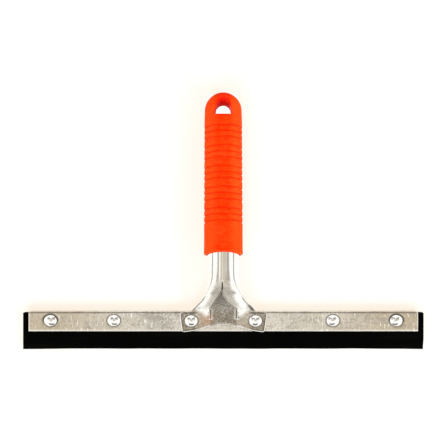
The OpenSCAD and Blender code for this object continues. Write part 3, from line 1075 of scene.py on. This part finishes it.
def white_sheet():
    """Plain off-white to the object's light, and bright to the camera and in reflections."""
    material = bpy.data.materials.new("white sheet")
    tree = fresh_tree(material)
    path = add(tree, "ShaderNodeLightPath")
    back = add(tree, "ShaderNodeNewGeometry")["Backfacing"]
    lit = add(tree, "ShaderNodeBsdfDiffuse", {}, {"Color": (0.4, 0.37, 0.32, 1)})[0]
    fill = add(tree, "ShaderNodeEmission", {}, {"Color": (0.3, 0.28, 0.25, 1), "Strength": 1.0})[0]
    sheet = add(tree, "ShaderNodeAddShader", {}, {0: lit, 1: fill})[0]
    faint = add(tree, "ShaderNodeBsdfDiffuse", {}, {"Color": (0.13, 0.235, 0.34, 1)})[0]
    split = add(tree, "ShaderNodeSeparateXYZ", {}, {0: add(tree, "ShaderNodeTexCoord")["Object"]})
    # Painted light: the sheet is made whiter behind the hang hole, where shade would fall.
    behind_hole = abs(split["X"]).soft(0.013, 0.009) * abs(split["Z"]).soft(0.016, 0.011)
    white = blend(tree, behind_hole, (0.9, 0.75, 0.59), (1.0, 0.97, 0.93))
    glow = add(tree, "ShaderNodeEmission", {}, {"Color": white, "Strength": 1.0})[0]
    bright = add(tree, "ShaderNodeAddShader", {}, {0: faint, 1: glow})[0]
    seen = add(tree, "ShaderNodeMixShader", {}, {
        0: path["Is Camera Ray"].math("MAXIMUM", path["Is Glossy Ray"]), 1: sheet, 2: bright,
    })[0]
    clear = add(tree, "ShaderNodeBsdfTransparent", {}, {"Color": (1, 1, 1, 1)})[0]
    shown = add(tree, "ShaderNodeMixShader", {}, {0: back, 1: seen, 2: clear})[0]
    add(tree, "ShaderNodeOutputMaterial", {}, {"Surface": shown})
    return material


def make_floor():
    """The white sheet that the squeegee lies on, close behind the rubber and the grip's end."""
    grip_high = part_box("grip_sleeve")[1]
    low_y = rubber_low.y + 2 * RUBBER_T * MM + BEHIND_RUBBER
    rise = grip_high.z - GRIP_R * MM - EDGE
    tilt = math.atan((grip_high.y + BEHIND_GRIP - low_y) / rise)
    bm = bmesh.new()
    bmesh.ops.create_grid(bm, x_segments=2, y_segments=2, size=SHEET_HALF)
    bm.transform(
        Matrix.Translation((0, low_y, EDGE)) @ Matrix.Rotation(math.radians(90) - tilt, 4, "X")
    )
    mesh = bpy.data.meshes.new("floor")
    bm.to_mesh(mesh)
    bm.free()
    floor = bpy.data.objects.new("floor", mesh)
    bpy.context.scene.collection.objects.link(floor)
    mesh.materials.append(white_sheet())


def make_world():
    """Plain warm fill, a white background, and a studio for the steel to reflect."""
    world = bpy.data.worlds.new("studio")
    bpy.context.scene.world = world
    tree = fresh_tree(world)
    toward = add(tree, "ShaderNodeTexCoord")["Generated"]
    split = add(tree, "ShaderNodeSeparateXYZ", {}, {0: toward})
    dx, dy, dz = (split[axis] for axis in "XYZ")
    # The steel reflects a greyer wall ahead, and dark cards above, below and beside the squeegee
    side = abs(dx)
    ahead = side.soft(0.42, 0.3) * dz.soft(0.56, 0.42) * dz.soft(-0.4, -0.26)
    upper = (dx.near(-0.6, 0.14) + dx.near(0.52, 0.24)) * dz.near(0.28, 0.3)
    lower = side.soft(0.5, 0.34) * (dz - dx * dx * 0.7).near(-0.86, 0.14)
    brow = side.soft(0.08, 0.18) * side.soft(0.68, 0.54) * dz.near(0.54, 0.15)
    rim = (dy + dx * 0.06).near(-0.11, 0.13) * dz.soft(-0.55, -0.3)
    room = blend(tree, ahead, (1.12, 1.11, 1.09), (0.64, 0.585, 0.485))
    room = blend(tree, upper * 0.9, room, (0.22, 0.21, 0.19))
    room = blend(tree, (lower + brow) * 0.99, room, (0.03, 0.028, 0.025))
    room = blend(tree, rim * 0.9, room, (0.1, 0.09, 0.08))
    path = add(tree, "ShaderNodeLightPath")
    plain = blend(tree, dy.soft(-0.4, -0.95), (0.96, 0.91, 0.83), (0.56, 0.52, 0.46))
    plain = blend(tree, dz.soft(-0.05, -0.55), plain, (1.3, 1.24, 1.12))
    fill = blend(tree, path["Is Glossy Ray"], plain, room)
    seen = blend(tree, path["Is Camera Ray"], fill, (1, 1, 1))
    add(tree, "ShaderNodeOutputWorld", {}, {
        "Surface": add(tree, "ShaderNodeBackground", {}, {"Color": seen, "Strength": 1.0})[0],
    })


def make_lamp(name, place, aim, power, colour):
    """A soft round lamp that the steel doesn't reflect."""
    data = bpy.data.lights.new(name, "AREA")
    data.shape = "DISK"
    data.size = LAMP_SIZE
    data.energy = power
    data.color = colour
    lamp = bpy.data.objects.new(name, data)
    bpy.context.scene.collection.objects.link(lamp)
    lamp.location = place
    lamp.rotation_euler = (Vector(aim) - Vector(place)).to_track_quat("-Z", "Y").to_euler()
    lamp.visible_glossy = False


# ---------------------------------------------------------------- assembly
make_camera()
make_world()
make_floor()
make_lamp("key", at(0.8, -1.0, -0.45), at(0, 0, 0.1), 9, (0.94, 0.97, 1.0))
make_lamp("low", at(-0.25, -1.0, -0.6), at(0, 0, 0.15), 8, (1.0, 0.98, 0.95))

make_grip(moulded_plastic())
make_stem(pressed_steel())
make_channel(channel_steel())
rubber = strip_rubber()
make_rubber("wiping_strip_front", "front_rubber", CHANNEL_SHEET, rubber)
make_rubber("wiping_strip_back", "back_rubber", CHANNEL_SHEET + RUBBER_T, rubber)
bright = rivet_steel()
for number, (kind, side) in enumerate((k, s) for k in RIVET_X for s in ("left", "right")):
    x = RIVET_X[kind] * (-1 if side == "left" else 1)
    make_rivet(
        f"{kind}_rivet_{side}", f"rivet_{kind}_{side}", x,
        -PLATE_SHEET if kind == "yoke" else 0.0, bright, 3.7 * number + 1,
    )

bpy.context.scene.view_settings.view_transform = "Standard"
